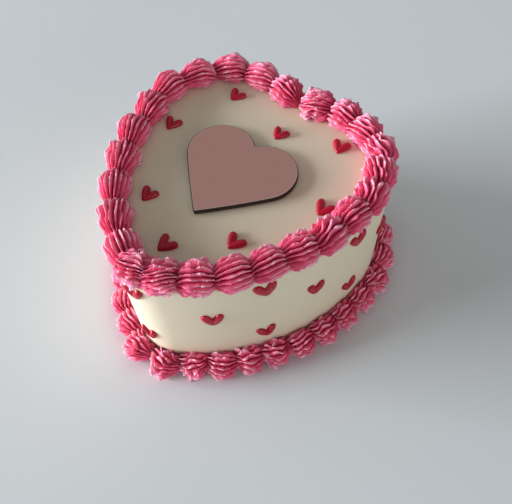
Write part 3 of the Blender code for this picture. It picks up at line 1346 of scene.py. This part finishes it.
@dataclass(frozen=True)
class Plaque:
    """The mirrored heart that lies on the icing, with a softened cut edge.

    Each ring of its rim has an offset and a rise above the face, in bevels, and a share of the cut.
    The rings at a share of 0.3 carry a pale painted highlight along the rim.
    """

    edge: HeartEdge = HeartEdge(
        lobe_radius=20.0 * MM, lobe_spread=15.2 * MM, flank_radius=520.0 * MM,
        flank_turn=math.radians(41.5), tip_radius=1.0 * MM, cleft_radius=0.6 * MM)
    points: int = 300
    bevel: float = 0.5 * MM
    # The rings at 0.3 of the cut are painted with a pale highlight along the rim.
    rim: tuple[Triple, ...] = (
        (0.0, -1.0, 1.0), (-0.3, -0.3, 1.0), (-1.0, 0.0, 1.0),
        (-1.2, 0.0, 0.3), (-1.6, 0.0, 0.3), (-1.9, 0.0, 0.0))
    face_rings: Triple = (0.8, 0.5, 0.2)
    centre: Pair = (0.0, -8.0 * MM)
    crease: float = math.radians(30.0)

    def build(self) -> None:
        """Add the plaque in the place of its solid."""
        low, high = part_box("plaque")
        shape = self.edge.ring(self.points)
        middle = np.array((0.5 * (low.x + high.x), high.y - shape[:, 1].max()))
        levels = [(-self.bevel, low.z, 1.0), (0.0, low.z + self.bevel, 1.0)]
        levels += [
            (offset * self.bevel, high.z + rise * self.bevel, cut)
            for offset, rise, cut in self.rim]
        rings = [
            level_ring(self.edge.ring(self.points, offset) + middle, height)
            for offset, height, _ in levels]
        cuts = [cut for *_, cut in levels] + [0.0] * len(self.face_rings)
        rim = rings[-1][:, :2]
        centre = middle + np.array(self.centre)
        rings += [level_ring(centre + (rim - centre) * share, high.z) for share in self.face_rings]
        marks = {"cut": [np.full(self.points, cut) for cut in cuts]}
        mesh = ring_mesh("plaque_face", rings, (*centre, low.z), (*centre, high.z), marks)
        mesh.set_sharp_from_angle(angle=self.crease)
        piece = add_piece(mesh, "plaque_sheet")
        piece.data.materials.append(ROSE_GOLD.make())
        declare(piece, ["plaque"])


@dataclass(frozen=True)
class SoftLight:
    """A large soft light aimed at the cake's foot, with its heading and height in degrees."""

    name: str
    heading: float
    height: float
    power: float
    size: Pair
    colour: Triple = (1.0, 1.0, 1.0)
    distance: float = 6.0

    def add(self) -> None:
        """Put the light in the scene."""
        light = bpy.data.lights.new(self.name, "AREA")
        light.shape = "RECTANGLE"
        light.size, light.size_y = self.size
        light.energy = self.power
        light.color = self.colour
        item = bpy.data.objects.new(self.name, light)
        heading, height = math.radians(self.heading), math.radians(self.height)
        flat = self.distance * math.cos(height)
        rise = self.distance * math.sin(height)
        place = Vector((flat * math.cos(heading), flat * math.sin(heading), rise))
        item.location = place
        item.rotation_euler = (-place).to_track_quat("-Z", "Y").to_euler()
        bpy.context.scene.collection.objects.link(item)


@dataclass(frozen=True)
class Studio:
    """The camera, the pale floor, and soft light that is strongest from one side."""

    camera_place: Triple = (0.14512, -0.16364, 0.34976)
    camera_heading: float = math.radians(38.12)
    camera_tilt: float = math.radians(32.68)
    camera_roll: float = math.radians(-2.8)
    lens: float = 41.35
    nearest: float = 10.0 * MM
    floor_reach: float = 2.5
    lights: tuple[SoftLight, ...] = (
        SoftLight("window", 218.0, 11.0, 660.0, (3.6, 2.0), (0.96, 1.0, 1.05)),
        SoftLight("side", 190.0, 14.0, 80.0, (3.6, 2.0)),
        SoftLight("right", 345.0, 15.0, 84.0, (6.4, 2.6)),
        SoftLight("ceiling", 128.0, 57.0, 10.8, (4.4, 4.4)),
    )
    sky: Triple = (1.0, 1.0, 1.0)
    sky_strength: float = 0.233

    def build(self) -> None:
        """Add the camera, the floor and the lights."""
        self._add_camera()
        self._add_floor()
        for light in self.lights:
            light.add()
        self._add_sky()

    def _add_camera(self) -> None:
        """Look at the cake as the photograph does."""
        scene = bpy.context.scene
        camera = bpy.data.cameras.new("camera")
        camera.lens = self.lens
        camera.sensor_fit = "HORIZONTAL"
        camera.clip_start = self.nearest
        item = bpy.data.objects.new("camera", camera)
        turn = Matrix.Rotation(self.camera_heading, 4, "Z")
        turn = turn @ Matrix.Rotation(self.camera_tilt, 4, "X")
        turn = turn @ Matrix.Rotation(self.camera_roll, 4, "Z")
        item.matrix_world = Matrix.Translation(self.camera_place) @ turn
        scene.collection.objects.link(item)
        scene.camera = item
        scene.view_settings.view_transform = "Standard"

    def _add_floor(self) -> None:
        """Lay a plain pale floor under the cake."""
        corners = [
            (x * self.floor_reach, y * self.floor_reach, 0.0)
            for x, y in ((-1, -1), (1, -1), (1, 1), (-1, 1))]
        mesh = bpy.data.meshes.new("floor")
        mesh.from_pydata(corners, [], [(0, 1, 2, 3)])
        floor = add_piece(mesh, "floor")
        floor.data.materials.append(PALE_FLOOR.make())

    def _add_sky(self) -> None:
        """Add even light from all round."""
        world = bpy.data.worlds.new("soft_light")
        world.use_nodes = True
        tree = Tree(world.node_tree)
        background = world.node_tree.nodes["Background"]
        tree.feed(background, "Color", opaque(self.sky))
        tree.feed(background, "Strength", self.sky_strength)
        bpy.context.scene.world = world


def main() -> None:
    """Build the looks of the cake."""
    logging.basicConfig(level=logging.INFO, format="%(message)s")
    Studio().build()
    CakeBody().build()
    pink = PINK_ICING.make()
    TopBorder().build(pink)
    FootBorder().build(pink)
    Hearts().build()
    Plaque().build()


if __name__ == "__main__":
    main()
